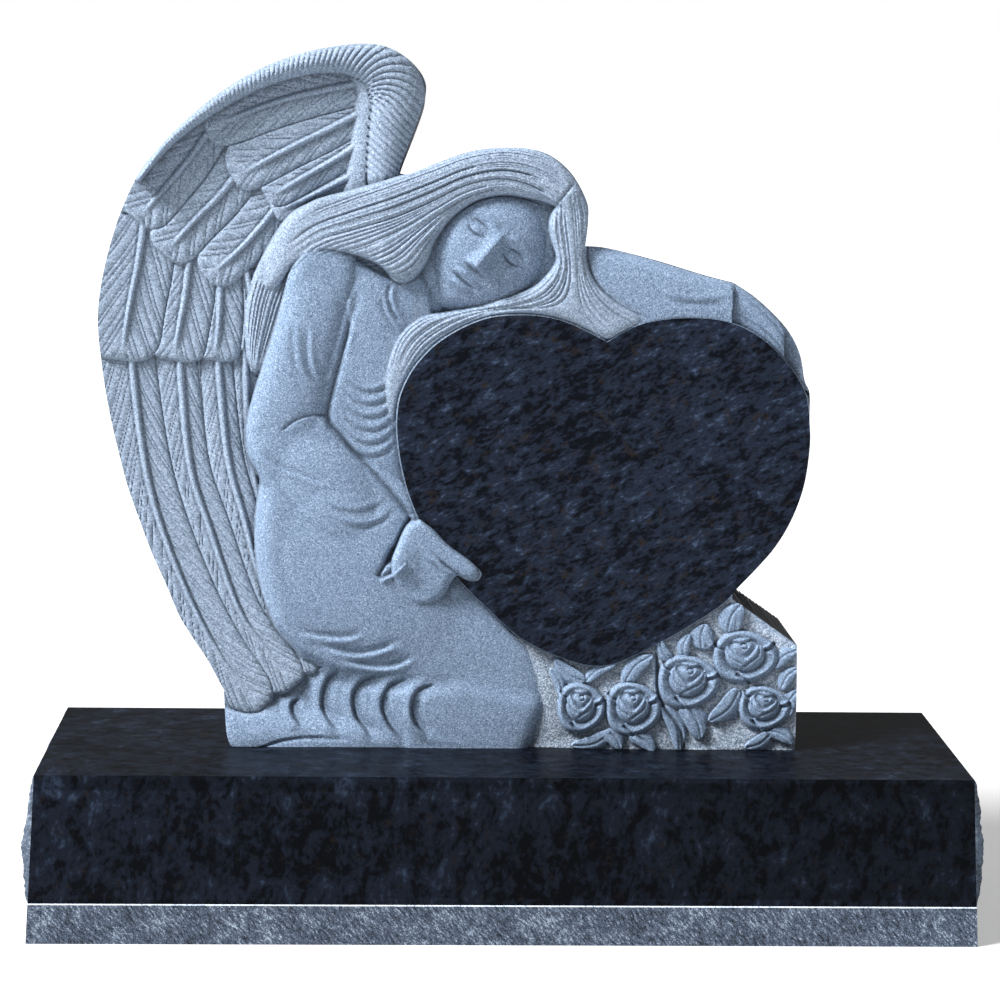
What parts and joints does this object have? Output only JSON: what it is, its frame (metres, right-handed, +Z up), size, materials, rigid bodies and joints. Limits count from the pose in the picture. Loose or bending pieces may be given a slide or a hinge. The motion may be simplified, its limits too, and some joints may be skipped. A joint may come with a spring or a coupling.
{
  "type": "granite monument",
  "caption": "Upright granite memorial: a kneeling winged angel embraces a plain polished heart above roses, on a long low base.",
  "frame": {"origin": "middle of the underside's bounding box, on the ground", "axes": "+Z up, +X to the right of a viewer who faces the carving, which looks towards -Y"},
  "size_m": [1.1748, 0.3718, 1.085],
  "materials": {
    "carved_granite": "sandblasted blue-grey granite, light and speckled, with polished very dark blue granite on the heart and the right edge",
    "polished_granite": "polished very dark blue granite with sawn grey margin and rock-pitched ends"
  },
  "bodies": {
    "root": {"angel_heart_tablet": "carved_granite", "base": "polished_granite"}
  },
  "joints": []
}
